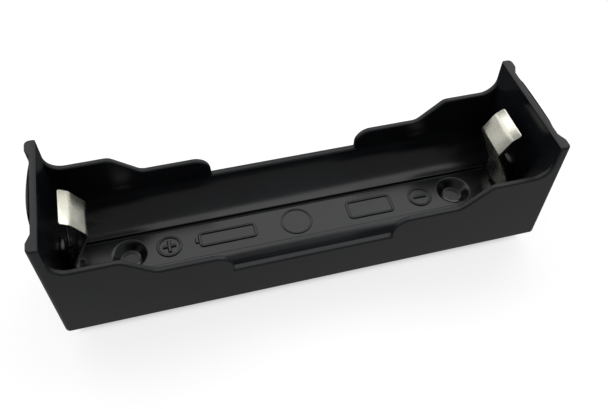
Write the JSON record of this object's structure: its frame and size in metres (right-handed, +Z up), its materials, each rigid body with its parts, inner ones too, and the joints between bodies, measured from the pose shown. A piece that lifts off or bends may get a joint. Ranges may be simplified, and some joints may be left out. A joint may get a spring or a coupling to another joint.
{
  "type": "cylindrical cell holder",
  "caption": "Open-topped moulded holder for one cylindrical cell, with a folded spring contact and a solder pin at each end, for fixing to a circuit board",
  "frame": {"origin": "middle of the underside of the housing, which lies on the circuit board", "axes": "+X along the cell towards the negative end, +Y across the holder, +Z up out of the board"},
  "size_m": [0.0776, 0.0208, 0.024],
  "materials": {
    "black_plastic": "black moulded plastic, slightly glossy",
    "plated_strip": "nickel-plated spring strip, soft shine"
  },
  "bodies": {
    "housing": {"housing": "black_plastic"},
    "positive_leaf": {"positive_contact": "plated_strip"},
    "negative_leaf": {"negative_contact": "plated_strip"}
  },
  "joints": [
    {"name": "positive_flex", "type": "hinge", "parent": "housing", "child": "positive_leaf", "pos_m": [-0.0356, 0, 0.0023], "axis": [0, -1, 0], "range_deg": [0, 5.5], "stiffness_Nm_per_rad": 0.4},
    {"name": "negative_flex", "type": "hinge", "parent": "housing", "child": "negative_leaf", "pos_m": [0.0356, 0, 0.0023], "axis": [0, 1, 0], "range_deg": [0, 5.5], "stiffness_Nm_per_rad": 0.4}
  ]
}
